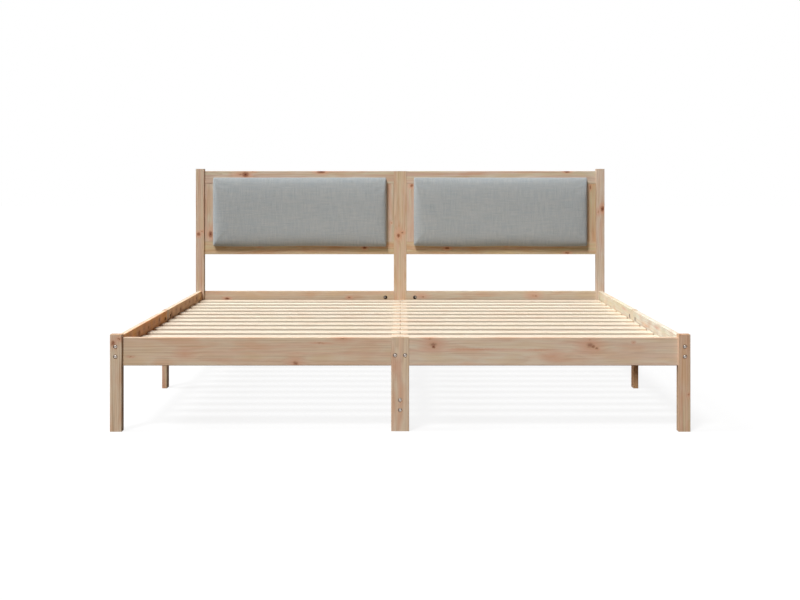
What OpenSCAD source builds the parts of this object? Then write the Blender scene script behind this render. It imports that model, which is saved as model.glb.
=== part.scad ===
// Double bed frame of solid pine with two upholstered headboard cushions.
// It lies along Y with the foot end at -Y, stands on Z = 0 and is centred on X = 0.
// The bed's long members come in two halves that clamp a flat leg board between them.

/* [Overall size] */
// Width over the corner posts
bed_w = 1855; // [1400:5:2100]
// Length over the corner posts
bed_l = 2055; // [1900:5:2300]
// Height of the head posts
head_h = 855; // [800:5:1100]
// Height of the foot posts above the rails' top edge
foot_rise = 10; // [2:1:60]

/* [Timber] */
// Width of a corner post, across the bed
post_w = 38; // [36:1:60]
// Depth of a corner post, along the bed
post_d = 38; // [30:1:60]
// Thickness of the rails, legs and headboard boards
board_t = 19; // [18:0.5:24]
// Width of the narrow boards used for legs, stiles and centre beam
strip_w = 57.5; // [52:0.5:70]
// Radius of the eased long edges
edge_r = 2; // [0.5:0.5:3]

/* [Rails] */
// Height of the rails' top edge above the floor
rail_top = 300; // [260:1:330]
// Height of a rail board
rail_h = 90; // [82:1:110]
// Setback of a side rail from the posts' outer sides
side_inset = 8; // [6:0.5:12]

/* [Slats] */
// Number of slat rows
slat_rows = 13; // [9:2:15]
// Width of a slat
slat_w = 80; // [60:1:90]
// Thickness of a slat
slat_t = 17; // [14:0.5:20]
// Depth of the slats' top face below the rails' top edge
slat_drop = 37.5; // [28:0.5:45]
// Distance from an end rail to the first slat
slat_margin = 38.5; // [38:0.5:60]
// Gap between the two slats of a row
slat_mid_gap = 2; // [1:0.5:5]
// Gap between a slat and the side rail
slat_end_gap = 4; // [1:0.5:6]
// Width of a ledge that carries the slats
ledge_w = 25; // [22:1:35]
// Height of a ledge
ledge_h = 30; // [24:1:35]
// Distance from the last slat's screws to the end of a ledge
ledge_lead = 11; // [8:0.5:14]
// Gap between the two ledges of a side
ledge_mid_gap = 2; // [1:0.5:4]

/* [Centre beam] */
// Height of the centre beam
beam_h = 30; // [28:1:40]
// Depth of the beam's top face below the slats' top face
beam_drop = 5; // [2:0.5:8]
// Depth of the boards that carry the beam's ends
support_t = 38; // [36:1:45]

/* [Headboard] */
// Height of the posts' tops above the headboard's top edge
panel_drop = 10; // [0:1:40]
// Height of the headboard's bottom edge above the rails' top edge
panel_lift = 167; // [100:1:220]

/* [Cushions] */
// How far a cushion laps over the boards at its left and right
cushion_lap_x = 20; // [14:0.5:26]
// How far a cushion laps over the boards above and below it
cushion_lap_z = 24.5; // [20:0.5:28]
// Thickness of the padding at its crown
pad_t = 26; // [15:1:40]
// Thickness of the plywood board behind the padding
ply_t = 9; // [9:0.5:15]
// Distance from the cushion's rim to the edge of its board
ply_in = 5; // [3:0.5:8]
// Radius of a cushion's corners
cushion_r = 12; // [6:1:20]
// How far the middle of each side is drawn in
cushion_draw = 2; // [0:0.5:3]
// Shift of both cushions towards the middle of the bed
cushion_in = 4; // [0:0.5:5]
// Height of the cushions' centre above the middle of their panels
cushion_up = 4; // [0:0.5:6]

/* [Bolts and dowels] */
// Diameter of the bolts and threaded rods
bolt_d = 6; // [5:0.5:7]
// Diameter of a bolt head
head_d = 13.5; // [11:0.5:15]
// Thickness of a bolt head
head_t = 2.4; // [1.5:0.1:3]
// Distance between the two bolts of a pair
pair_gap = 32; // [30:1:36]
// Height of the lower bolt through a centre leg into its support board
support_bolt_z = 67; // [50:1:90]
// Diameter of a barrel nut
nut_d = 10; // [9:0.5:12]
// Length of a barrel nut
nut_l = 14; // [12:0.5:15]
// Distance from a rail's end to its barrel nut
nut_in = 45; // [36:1:50]
// Distance from the beam's end to its barrel nut
beam_nut_in = 25; // [20:1:27]
// How far a bolt reaches past its barrel nut
bolt_tip = 3; // [1:0.5:5]
// Diameter of the round pockets for the threaded rods
pocket_d = 17; // [16:0.5:18]
// Depth of a pocket beyond the rod's centre line
pocket_depth = 6; // [6:0.5:8]
// Distance from a rail's end to the centre of its pocket
pocket_in = 38; // [30:1:45]
// Thickness of the nut on a threaded rod
rod_nut_t = 5; // [4:0.5:5.5]
// Width across the corners of the nut on a threaded rod
rod_nut_d = 11; // [10:0.5:11]
// How far a threaded rod stands out of its nut
rod_tip = 1.5; // [0.5:0.5:2]
// Diameter of a dowel
dowel_d = 8; // [6:0.5:9]
// Length of a dowel
dowel_l = 40; // [30:1:42]

/* [Screws] */
// Diameter of a wood screw
screw_d = 4; // [3:0.5:4.5]
// Diameter of a wood screw's head
screw_head_d = 8; // [7:0.5:9]
// Height of a wood screw's countersunk head
screw_head_t = 2.4; // [1.5:0.1:3]
// Length of a slat or ledge screw
screw_l = 35; // [30:1:38]
// Length of a cushion screw
cushion_screw_l = 25; // [22:1:27]
// Distance from a slat's inner end to its screw
slat_screw_in = 8; // [6:0.5:9]
// Distance from a slat's outer end to its screw
slat_screw_out = 12; // [8:0.5:14]
// Distance from the end of a cushion board to its outer screws
cushion_screw_end = 95; // [60:5:150]

/* [Clearances] */
// Radial clearance of bolts, nuts, dowels and screws in their bores
bore_gap = 0.3; // [0.1:0.1:0.5]
// Clearance of a slat in its housing, on each side
housing_gap = 0.5; // [0.2:0.1:1]
// Gap between a cushion's padding and its board
pad_gap = 0.3; // [0.1:0.1:0.5]

/* [Hidden] */
$fn = 24;
pine = "#e2c6a0";
beech = "#d8b888";
birch_ply = "#c9a878";
steel = "#c4c6c8";
linen = "#a3a5a4";

half_w = bed_w / 2;
half_l = bed_l / 2;
foot_h = rail_top + foot_rise;

// Corner posts and end frames
post_x = half_w - post_w / 2;
post_in_x = half_w - post_w;
post_in_y = half_l - post_d;
end_y = half_l - post_d / 2;
end_in_y = end_y - board_t / 2;
end_out_y = end_y + board_t / 2;
leg_half = strip_w / 2;

// Side rails
side_x = half_w - side_inset - board_t / 2;
side_in_x = side_x - board_t / 2;
rail_z = rail_top - rail_h / 2;

// Slats, ledges and centre beam
slat_top = rail_top - slat_drop;
slat_bottom = slat_top - slat_t;
slat_out_x = side_in_x - slat_end_gap;
slat_in_x = slat_mid_gap / 2;
last_row_y = end_in_y - slat_margin - slat_w / 2;
slat_pitch = 2 * last_row_y / (slat_rows - 1);
ledge_x = side_in_x - ledge_w / 2;
ledge_z = slat_bottom - ledge_h / 2;
ledge_end_y = last_row_y + ledge_lead;
beam_top = slat_top - beam_drop;
beam_bottom = beam_top - beam_h;
beam_z = beam_top - beam_h / 2;

// Headboard and cushions
panel_top = head_h - panel_drop;
panel_bottom = rail_top + panel_lift;
top_rail_z = panel_top - strip_w / 2;
bottom_rail_z = panel_bottom + strip_w / 2;
window_top = panel_top - strip_w;
window_bottom = panel_bottom + strip_w;
stile_out_x = post_in_x - strip_w / 2;
stile_in_x = leg_half + strip_w / 2;
cushion_w = stile_out_x - stile_in_x - strip_w + 2 * cushion_lap_x;
cushion_h = window_top - window_bottom + 2 * cushion_lap_z;
cushion_x = (stile_out_x + stile_in_x) / 2 - cushion_in;
cushion_z = (window_top + window_bottom) / 2 + cushion_up;
ply_top = cushion_z + cushion_h / 2 - ply_in;
ply_bottom = cushion_z - cushion_h / 2 + ply_in;
pad_y = end_in_y - ply_t - pad_gap;

// Bolts, rods, dowels and screws
bolt_r = bolt_d / 2 + bore_gap;
nut_r = nut_d / 2 + bore_gap;
dowel_r = dowel_d / 2 + bore_gap;
side_bolt_l = post_d + nut_in + nut_d / 2 + bolt_tip;
end_bolt_l = post_w + nut_in + nut_d / 2 + bolt_tip;
leg_bolt_l = board_t + beam_nut_in + nut_d / 2 + bolt_tip;
pocket_y = leg_half + pocket_in;
rod_half = pocket_y + rod_nut_t + bore_gap + rod_tip;
rod_joint_z = rail_z + pair_gap / 2;
joint_dowel_z = rail_z - pair_gap;
ledge_screw_gaps = [0 : 2 : floor(slat_rows / 2) - 2];
slat_screw_in_x = slat_in_x + slat_screw_in;
slat_screw_out_x = slat_out_x - slat_screw_out;
cushion_screw_x = cushion_w / 2 - ply_in - cushion_screw_end;
cushion_screw_top = (ply_top + window_top) / 2;
cushion_screw_bottom = (ply_bottom + window_bottom) / 2;

// Left and foot are -1, right and head are 1
SIGNS = [-1, 1];
ROWS = [0 : slat_rows - 1];
function side(s) = s < 0 ? "left" : "right";
function end(e) = e < 0 ? "foot" : "head";
function row_y(i) = -last_row_y + i * slat_pitch;
function row_name(i) = str("slat_row_", i < 9 ? "0" : "", i + 1);

// Boards with eased long edges, centred on the two axes across their length

module section(a, b) {
    square([a - 2 * edge_r, b], center = true);
    square([a, b - 2 * edge_r], center = true);
    for (x = SIGNS, y = SIGNS)
        translate([x * (a / 2 - edge_r), y * (b / 2 - edge_r)])
            circle(edge_r);
}

module board_x(x0, x1, depth, height) {
    translate([x0, 0, 0])
        rotate([90, 0, 90])
            linear_extrude(x1 - x0)
                section(depth, height);
}

module board_y(y0, y1, width, height) {
    translate([0, y0, 0])
        rotate([-90, 0, 0])
            linear_extrude(y1 - y0)
                section(width, height);
}

module board_z(z0, z1, width, depth) {
    translate([0, 0, z0])
        linear_extrude(z1 - z0)
            section(width, depth);
}

// Round solids along each axis, centred on the origin

module rod_x(r, length) {
    rotate([0, 90, 0])
        cylinder(r = r, h = length, center = true);
}

module rod_y(r, length) {
    rotate([90, 0, 0])
        cylinder(r = r, h = length, center = true);
}

module rod_z(r, length) {
    cylinder(r = r, h = length, center = true);
}

// A joint's two ends, mirrored across its middle
module both_ways() {
    children();
    mirror([0, 1, 0])
        children();
}

// Fasteners point along -Z and their heads' outer faces are at the origin

module bolt(length) {
    difference() {
        union() {
            translate([0, 0, -head_t])
                cylinder(d = head_d, h = head_t * 0.6);
            translate([0, 0, -head_t * 0.4])
                cylinder(d1 = head_d, d2 = head_d - head_t * 0.8, h = head_t * 0.4);
            translate([0, 0, -length])
                cylinder(d = bolt_d, h = length - head_t / 2);
        }
        translate([0, 0, -head_t * 0.8])
            cylinder(d = bolt_d * 0.78, h = head_t, $fn = 6);
    }
}

module bolt_bore(length) {
    translate([0, 0, -head_t])
        cylinder(r = head_d / 2 + bore_gap, h = head_t + 1);
    translate([0, 0, -length - 1])
        cylinder(r = bolt_r, h = length);
}

module screw(length) {
    difference() {
        union() {
            translate([0, 0, -screw_head_t])
                cylinder(d1 = screw_d, d2 = screw_head_d, h = screw_head_t);
            translate([0, 0, -length])
                cylinder(d = screw_d, h = length - screw_head_t / 2);
        }
        cube([screw_head_d * 0.5, screw_d * 0.2, screw_head_t], center = true);
        cube([screw_d * 0.2, screw_head_d * 0.5, screw_head_t], center = true);
    }
}

module screw_bore(length) {
    translate([0, 0, -screw_head_t])
        cylinder(r1 = screw_d / 2 + bore_gap, r2 = screw_head_d / 2 + bore_gap, h = screw_head_t);
    cylinder(r = screw_head_d / 2 + bore_gap, h = 1);
    translate([0, 0, -length - 1])
        cylinder(r = screw_d / 2 + bore_gap, h = length);
}

// The nut's thread runs along Y through its middle
module barrel_nut() {
    difference() {
        rod_z(nut_d / 2, nut_l);
        rod_y(bolt_r, nut_d + 2);
    }
}

// A bore for a barrel nut at the origin, open towards +Z
module nut_bore(open) {
    translate([0, 0, -nut_l / 2 - bore_gap])
        cylinder(r = nut_r, h = nut_l / 2 + bore_gap + open);
}

// Places of the fasteners, each given for both ends and sides or for one of them

module at_side_bolts(ends = SIGNS, sides = SIGNS) {
    for (e = ends, s = sides, z = SIGNS)
        translate([s * side_x, e * half_l, rail_z + z * pair_gap / 2])
            rotate([-e * 90, 0, 0])
                children();
}

module at_end_bolts(ends = SIGNS, sides = SIGNS) {
    for (e = ends, s = sides)
        translate([s * half_w, e * end_y, rail_z])
            rotate([0, s * 90, 0])
                children();
}

module at_panel_bolts(sides = SIGNS) {
    for (s = sides, z = [top_rail_z, bottom_rail_z])
        translate([s * half_w, end_y, z])
            rotate([0, s * 90, 0])
                children();
}

module at_beam_bolts(ends = SIGNS) {
    for (e = ends, x = SIGNS)
        translate([x * pair_gap / 2, e * end_out_y, beam_z])
            rotate([-e * 90, 0, 0])
                children();
}

module at_support_bolts(ends = SIGNS) {
    for (e = ends, z = [0, 1])
        translate([0, e * end_out_y, support_bolt_z + z * pair_gap])
            rotate([-e * 90, 0, 0])
                children();
}

module at_side_nuts(ends = SIGNS, sides = SIGNS) {
    for (e = ends, s = sides, z = SIGNS)
        translate([s * side_x, e * (post_in_y - nut_in), rail_z + z * pair_gap / 2])
            rotate([0, -s * 90, 0])
                children();
}

module at_end_nuts(ends = SIGNS, sides = SIGNS) {
    for (e = ends, s = sides)
        translate([s * (post_in_x - nut_in), e * end_y, rail_z])
            rotate([e * 90, 0, 0])
                rotate([0, 0, 90])
                    children();
}

module at_panel_nuts(sides = SIGNS) {
    for (s = sides, z = [top_rail_z, bottom_rail_z])
        translate([s * (post_in_x - nut_in), end_y, z])
            rotate([-90, 0, 0])
                rotate([0, 0, 90])
                    children();
}

module at_beam_nuts(ends = SIGNS) {
    for (e = ends, x = SIGNS)
        translate([x * pair_gap / 2, e * (end_in_y - beam_nut_in), beam_z])
            rotate([0, 180, 0])
                children();
}

module at_support_nuts(ends = SIGNS) {
    for (e = ends, z = [0, 1])
        translate([0, e * (end_in_y - beam_nut_in), support_bolt_z + z * pair_gap])
            rotate([0, 90, 0])
                children();
}

module at_end_dowels(ends = SIGNS, sides = SIGNS) {
    for (e = ends, s = sides, z = SIGNS)
        translate([s * post_in_x, e * end_y, rail_z + z * pair_gap])
            children();
}

module at_panel_dowels(sides = SIGNS) {
    for (s = sides, x = [post_in_x, leg_half], z = [top_rail_z, bottom_rail_z], d = SIGNS)
        translate([s * x, end_y, z + d * pair_gap / 2])
            children();
}

module at_stile_dowels(sides = SIGNS) {
    for (s = sides, x = [stile_out_x, stile_in_x], z = [window_top, window_bottom])
        translate([s * x, end_y, z])
            children();
}

module at_centre_dowels(ends = SIGNS, sides = SIGNS) {
    for (e = ends, s = sides)
        translate([s * leg_half, e * end_y, joint_dowel_z])
            children();
}

module at_side_dowels(ends = SIGNS, sides = SIGNS) {
    for (e = ends, s = sides)
        translate([s * side_x, e * leg_half, joint_dowel_z])
            children();
}

module at_row_screws(rows = ROWS) {
    for (i = rows, s = SIGNS) {
        translate([s * slat_screw_in_x, row_y(i), slat_top])
            children();
        if (abs(row_y(i)) > screw_head_d)
            translate([s * slat_screw_out_x, row_y(i), slat_top])
                children();
    }
}

module at_ledge_screws(ends = SIGNS, sides = SIGNS) {
    for (e = ends, s = sides, i = ledge_screw_gaps)
        translate([s * (side_in_x - ledge_w), e * (last_row_y - (i + 0.5) * slat_pitch), ledge_z])
            rotate([0, -s * 90, 0])
                children();
}

module at_cushion_screws(sides = SIGNS) {
    for (s = sides, k = [-1, 0, 1], z = [cushion_screw_top, cushion_screw_bottom])
        translate([s * cushion_x + k * cushion_screw_x, end_out_y, z])
            rotate([-90, 0, 0])
                children();
}

// Joints with a threaded rod, each turned so that the rod lies along Y and the pockets open to -X

module at_end_joints(ends = SIGNS) {
    for (e = ends)
        translate([0, e * end_y, rod_joint_z])
            rotate([0, 0, e * 90])
                children();
}

module at_side_joints(sides = SIGNS) {
    for (s = sides)
        translate([s * side_x, 0, rod_joint_z])
            rotate([0, 0, s > 0 ? 0 : 180])
                children();
}

module at_beam_joints() {
    for (x = SIGNS)
        translate([x * pair_gap / 2, 0, beam_z])
            rotate([0, -90, 0])
                children();
}

module at_joints() {
    at_end_joints()
        children();
    at_side_joints()
        children();
    at_beam_joints()
        children();
}

module rod_bore() {
    rod_y(bolt_r, 2 * rod_half + 2);
}

module joint_bores(wall) {
    rod_bore();
    both_ways()
        translate([-wall / 2 - 1, pocket_y, 0])
            rotate([0, 90, 0])
                cylinder(d = pocket_d, h = wall / 2 + 1 + pocket_depth);
}

// Half-moon washer with its round side against the pocket's wall
module moon_washer() {
    difference() {
        rod_x(pocket_d / 2 - bore_gap, 2 * (pocket_depth - bore_gap));
        translate([0, pocket_d / 2, 0])
            cube([pocket_d, pocket_d, pocket_d], center = true);
        rod_y(bolt_r, 2 * pocket_d);
    }
}

module rod_nut() {
    translate([0, bore_gap, 0])
        rotate([-90, 0, 0])
            difference() {
                cylinder(d = rod_nut_d, h = rod_nut_t, $fn = 6);
                translate([0, 0, -1])
                    cylinder(r = bolt_r, h = rod_nut_t + 2);
            }
}

// Corner posts

module post(e, s) {
    color(pine)
        difference() {
            translate([s * post_x, e * end_y, 0])
                board_z(0, e > 0 ? head_h : foot_h, post_w, post_d);
            at_side_bolts([e], [s])
                bolt_bore(side_bolt_l);
            at_end_bolts([e], [s])
                bolt_bore(end_bolt_l);
            at_end_dowels([e], [s])
                rod_x(dowel_r, dowel_l + 1);
            if (e > 0) {
                at_panel_bolts([s])
                    bolt_bore(end_bolt_l);
                at_panel_dowels([s])
                    rod_x(dowel_r, dowel_l + 1);
            }
        }
}

// Flat legs between the halves of the rails

module centre_leg(e) {
    color(pine)
        difference() {
            translate([0, e * end_y, 0])
                board_z(0, e > 0 ? panel_top : rail_top, strip_w, board_t);
            at_end_joints([e])
                rod_bore();
            at_centre_dowels([e])
                rod_x(dowel_r, dowel_l + 1);
            at_beam_bolts([e])
                bolt_bore(leg_bolt_l);
            at_support_bolts([e])
                bolt_bore(leg_bolt_l);
            if (e > 0)
                at_panel_dowels()
                    rod_x(dowel_r, dowel_l + 1);
        }
}

module side_leg(s) {
    color(pine)
        difference() {
            translate([s * side_x, 0, 0])
                board_z(0, rail_top, board_t, strip_w);
            at_side_joints([s])
                rod_bore();
            at_side_dowels(SIGNS, [s])
                rod_y(dowel_r, dowel_l + 1);
        }
}

// Boards that carry the centre beam at its ends and at the middle of the bed

module support_board(e) {
    color(pine)
        difference() {
            translate([0, e * (end_in_y - support_t / 2), 0])
                board_z(0, beam_bottom, strip_w, support_t);
            at_support_bolts([e])
                bolt_bore(leg_bolt_l);
            at_support_nuts([e])
                nut_bore(strip_w);
        }
}

module middle_support_leg() {
    color(pine)
        difference() {
            board_z(0, slat_bottom, strip_w, board_t);
            at_beam_joints()
                rod_bore();
            at_row_screws([floor(slat_rows / 2)])
                screw_bore(screw_l);
        }
}

// Rails in two halves

module end_rail(e, s) {
    color(pine)
        difference() {
            translate([0, e * end_y, rail_z])
                board_x(s > 0 ? leg_half : -post_in_x, s > 0 ? post_in_x : -leg_half, board_t, rail_h);
            at_end_bolts([e], [s])
                bolt_bore(end_bolt_l);
            at_end_nuts([e], [s])
                nut_bore(board_t);
            at_end_dowels([e], [s])
                rod_x(dowel_r, dowel_l + 1);
            at_centre_dowels([e], [s])
                rod_x(dowel_r, dowel_l + 1);
            at_end_joints([e])
                joint_bores(board_t);
        }
}

module side_rail(e, s) {
    color(pine)
        difference() {
            translate([s * side_x, 0, rail_z])
                board_y(e > 0 ? leg_half : -post_in_y, e > 0 ? post_in_y : -leg_half, board_t, rail_h);
            at_side_bolts([e], [s])
                bolt_bore(side_bolt_l);
            at_side_nuts([e], [s])
                nut_bore(board_t);
            at_side_dowels([e], [s])
                rod_y(dowel_r, dowel_l + 1);
            at_side_joints([s])
                joint_bores(board_t);
            at_ledge_screws([e], [s])
                screw_bore(screw_l);
        }
}

module ledge(e, s) {
    color(pine)
        difference() {
            translate([s * ledge_x, 0, ledge_z])
                board_y(
                    e > 0 ? ledge_mid_gap / 2 : -ledge_end_y,
                    e > 0 ? ledge_end_y : -ledge_mid_gap / 2,
                    ledge_w,
                    ledge_h
                );
            at_ledge_screws([e], [s])
                screw_bore(screw_l);
            at_row_screws()
                screw_bore(screw_l);
        }
}

// Centre beam in two halves, with a housing for each slat

module centre_beam(e) {
    color(pine)
        difference() {
            translate([0, 0, beam_z])
                board_y(
                    e > 0 ? board_t / 2 : -end_in_y,
                    e > 0 ? end_in_y : -board_t / 2,
                    strip_w,
                    beam_h
                );
            for (i = ROWS)
                translate([0, row_y(i), slat_bottom + slat_t / 2])
                    cube([strip_w + 2, slat_w + 2 * housing_gap, slat_t], center = true);
            at_beam_bolts([e])
                bolt_bore(leg_bolt_l);
            at_beam_nuts([e])
                nut_bore(beam_h);
            at_beam_joints()
                joint_bores(beam_h);
            at_row_screws()
                screw_bore(screw_l);
        }
}

// Two slats that meet over the centre beam

module slat_row(i) {
    color(pine)
        difference() {
            translate([0, row_y(i), slat_bottom + slat_t / 2])
                for (s = SIGNS)
                    board_x(s > 0 ? slat_in_x : -slat_out_x, s > 0 ? slat_out_x : -slat_in_x, slat_w, slat_t);
            at_row_screws([i])
                screw_bore(screw_l);
        }
}

// Headboard panels

module panel_rail(s, z) {
    color(pine)
        difference() {
            translate([0, end_y, z])
                board_x(s > 0 ? leg_half : -post_in_x, s > 0 ? post_in_x : -leg_half, board_t, strip_w);
            at_panel_bolts([s])
                bolt_bore(end_bolt_l);
            at_panel_nuts([s])
                nut_bore(board_t);
            at_panel_dowels([s])
                rod_x(dowel_r, dowel_l + 1);
            at_stile_dowels([s])
                rod_z(dowel_r, dowel_l + 1);
            at_cushion_screws([s])
                screw_bore(cushion_screw_l);
        }
}

module panel_stile(s, x) {
    color(pine)
        difference() {
            translate([s * x, end_y, 0])
                board_z(window_bottom, window_top, strip_w, board_t);
            at_stile_dowels([s])
                rod_z(dowel_r, dowel_l + 1);
        }
}

// Cushions: a plywood board on the front of the panel, under padding

module cushion_board(s) {
    color(birch_ply)
        difference() {
            translate([s * cushion_x, end_in_y - ply_t / 2, cushion_z])
                cube([cushion_w - 2 * ply_in, ply_t, cushion_h - 2 * ply_in], center = true);
            at_cushion_screws([s])
                screw_bore(cushion_screw_l);
        }
}

// Rings of the padding from back to front: [inset from the rim, share of the thickness]
PAD_RINGS = [
    [3, 0], [0.8, 0.14], [0, 0.32], [1, 0.52], [4, 0.7],
    [10, 0.83], [22, 0.91], [45, 0.96], [85, 0.99], [120, 1]
];
CORNER_STEPS = 3;
LONG_STEPS = 10;
SHORT_STEPS = 5;

// Point j on corner q of a rounded rectangle with half sizes a and b
function corner_point(a, b, r, q, j) =
    let (
        turn = 90 * q + 90 * j / CORNER_STEPS,
        cx = q == 0 || q == 3 ? a - r : r - a,
        cy = q < 2 ? b - r : r - b
    )
    [cx + r * cos(turn), cy + r * sin(turn)];

function rounded_outline(a, b, r) = [
    for (q = [0 : 3])
        let (
            from = corner_point(a, b, r, q, CORNER_STEPS),
            to = corner_point(a, b, r, (q + 1) % 4, 0),
            steps = q % 2 == 0 ? LONG_STEPS : SHORT_STEPS
        )
        each concat(
            [for (j = [0 : CORNER_STEPS]) corner_point(a, b, r, q, j)],
            [for (k = [1 : steps - 1]) from + (to - from) * k / steps]
        )
];

// The middle of each side is drawn in, and the corners stay where they are
function drawn_in(p, a, b) = [
    p[0] * (1 - cushion_draw / a * (1 - pow(p[1] / b, 2))),
    p[1] * (1 - cushion_draw / b * (1 - pow(p[0] / a, 2)))
];

function pad_ring(inset, depth) =
    let (a = cushion_w / 2 - inset, b = cushion_h / 2 - inset * min(1, (cushion_h / 2 - 10) / 120))
    [
        for (p = rounded_outline(a, b, max(cushion_r - inset, 2)))
            let (d = drawn_in(p, a, b))
            [d[0], -depth, d[1]]
    ];

module padding() {
    thick = pad_t - pad_gap;
    rings = [for (r = PAD_RINGS) pad_ring(r[0], r[1] * thick)];
    n = len(rings[0]);
    m = len(rings);
    points = concat([[0, 0, 0]], [for (r = rings) each r], [[0, -thick, 0]]);
    back = [for (k = [0 : n - 1]) [0, 1 + k, 1 + (k + 1) % n]];
    bands = [
        for (i = [0 : m - 2], k = [0 : n - 1])
            let (a = 1 + i * n + k, b = 1 + i * n + (k + 1) % n)
            each [[a, a + n, b], [a + n, b + n, b]]
    ];
    front = [for (k = [0 : n - 1]) [m * n + 1, 1 + (m - 1) * n + (k + 1) % n, 1 + (m - 1) * n + k]];
    polyhedron(points, concat(back, bands, front));
}

module cushion(s) {
    color(linen)
        translate([s * cushion_x, pad_y, cushion_z])
            padding();
}

// Fasteners

module corner_bolts() {
    color(steel) {
        at_side_bolts()
            bolt(side_bolt_l);
        at_end_bolts()
            bolt(end_bolt_l);
        at_panel_bolts()
            bolt(end_bolt_l);
    }
}

module leg_bolts() {
    color(steel) {
        at_beam_bolts()
            bolt(leg_bolt_l);
        at_support_bolts()
            bolt(leg_bolt_l);
    }
}

module barrel_nuts() {
    color(steel) {
        at_side_nuts()
            barrel_nut();
        at_end_nuts()
            barrel_nut();
        at_panel_nuts()
            barrel_nut();
        at_beam_nuts()
            barrel_nut();
        at_support_nuts()
            barrel_nut();
    }
}

module joint_rods() {
    color(steel)
        at_joints()
            rod_y(bolt_d / 2, 2 * rod_half);
}

module moon_washers() {
    color(steel)
        at_joints()
            both_ways()
                translate([0, pocket_y, 0])
                    moon_washer();
}

module joint_nuts() {
    color(steel)
        at_joints()
            both_ways()
                translate([0, pocket_y, 0])
                    rod_nut();
}

module dowels() {
    color(beech) {
        at_end_dowels()
            rod_x(dowel_d / 2, dowel_l);
        at_panel_dowels()
            rod_x(dowel_d / 2, dowel_l);
        at_centre_dowels()
            rod_x(dowel_d / 2, dowel_l);
        at_side_dowels()
            rod_y(dowel_d / 2, dowel_l);
        at_stile_dowels()
            rod_z(dowel_d / 2, dowel_l);
    }
}

module wood_screws() {
    color(steel) {
        at_row_screws()
            screw(screw_l);
        at_ledge_screws()
            screw(screw_l);
    }
}

module cushion_screws() {
    color(steel)
        at_cushion_screws()
            screw(cushion_screw_l);
}

for (e = SIGNS, s = SIGNS) {
    post(e, s);
    end_rail(e, s);
    side_rail(e, s);
    ledge(e, s);
}
for (e = SIGNS)
    centre_beam(e);
for (s = SIGNS) {
    side_leg(s);
    panel_rail(s, top_rail_z);
    panel_rail(s, bottom_rail_z);
    panel_stile(s, stile_out_x);
    panel_stile(s, stile_in_x);
    cushion_board(s);
    cushion(s);
}
for (i = ROWS)
    slat_row(i);
centre_leg(-1);  // foot_centre_leg
centre_leg(1);  // head_centre_post
support_board(-1);  // foot_support_board
support_board(1);  // head_support_board
middle_support_leg();
corner_bolts();
leg_bolts();
barrel_nuts();
joint_rods();
moon_washers();
joint_nuts();
dowels();
wood_screws();
cushion_screws();
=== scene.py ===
import math

import bpy
import numpy as np
from mathutils import Matrix, Vector


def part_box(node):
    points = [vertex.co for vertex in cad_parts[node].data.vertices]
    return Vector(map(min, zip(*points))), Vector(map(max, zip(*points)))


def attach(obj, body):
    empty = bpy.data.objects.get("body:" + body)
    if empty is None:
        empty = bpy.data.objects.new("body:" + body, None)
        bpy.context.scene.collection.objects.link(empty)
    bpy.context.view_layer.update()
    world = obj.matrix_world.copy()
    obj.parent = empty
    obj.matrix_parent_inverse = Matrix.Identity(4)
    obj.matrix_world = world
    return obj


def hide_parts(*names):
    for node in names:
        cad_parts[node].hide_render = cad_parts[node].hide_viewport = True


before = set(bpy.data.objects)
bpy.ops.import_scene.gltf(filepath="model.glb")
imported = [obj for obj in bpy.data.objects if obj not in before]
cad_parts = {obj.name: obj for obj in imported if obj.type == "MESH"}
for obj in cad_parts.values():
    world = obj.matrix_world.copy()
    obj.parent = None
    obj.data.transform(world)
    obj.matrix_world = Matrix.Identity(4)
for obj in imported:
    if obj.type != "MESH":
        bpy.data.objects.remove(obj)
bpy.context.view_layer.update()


# Camera
# The photograph was taken from 0.8 m above the floor with a level camera in front of the foot end.
# Its frame reaches further down than up, which the shift gives.
camera_data = bpy.data.cameras.new("camera")
camera_data.sensor_width = 36.0
camera_data.lens = 67.53
camera_data.shift_x = -0.0002
camera_data.shift_y = -0.1496
camera = bpy.data.objects.new("camera", camera_data)
camera.location = (0.0, -5.8205, 0.803)
camera.rotation_euler = (math.radians(90), 0.0, 0.0)
bpy.context.scene.collection.objects.link(camera)
bpy.context.scene.camera = camera
bpy.context.scene.view_settings.view_transform = "Standard"


# Studio
# A wide white floor that runs on into a white surround, with a little warm light from all round. One
# softbox hangs high in front and a wider one stands left, with weak ones before and behind, so tops and
# left sides are bright, right sides dark, and the cushions throw their shadow on the rail below them.
def linear(colour):
    """An sRGB hex value as linear red, green, blue and alpha."""
    parts = np.array([int(colour[i : i + 2], 16) for i in (1, 3, 5)]) / 255
    parts = np.where(parts <= 0.04045, parts / 12.92, ((parts + 0.055) / 1.055) ** 2.4)
    return (*parts.tolist(), 1.0)


def node(tree, kind, settings=None, inputs=None):
    """Adds a node. Inputs go by name or by place among the enabled ones, and take a value, socket or
    node. Stops are a colour ramp's places, each with a hex value or a grey."""
    made = tree.nodes.new("ShaderNode" + kind)
    for name, value in (settings or {}).items():
        if name == "stops":
            ramp = made.color_ramp
            while len(ramp.elements) < len(value):
                ramp.elements.new(1.0)
            for element, (place, colour) in zip(ramp.elements, value):
                element.position = place
                element.color = linear(colour) if isinstance(colour, str) else (colour, colour, colour, 1.0)
        else:
            setattr(made, name, value)
    enabled = [socket for socket in made.inputs if socket.enabled]
    for name, value in (inputs or {}).items():
        socket = made.inputs[name] if isinstance(name, str) else enabled[name]
        if isinstance(value, bpy.types.Node):
            value = next(output for output in value.outputs if output.enabled)
        if isinstance(value, bpy.types.NodeSocket):
            tree.links.new(value, socket)
        else:
            socket.default_value = value
    return made


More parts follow.
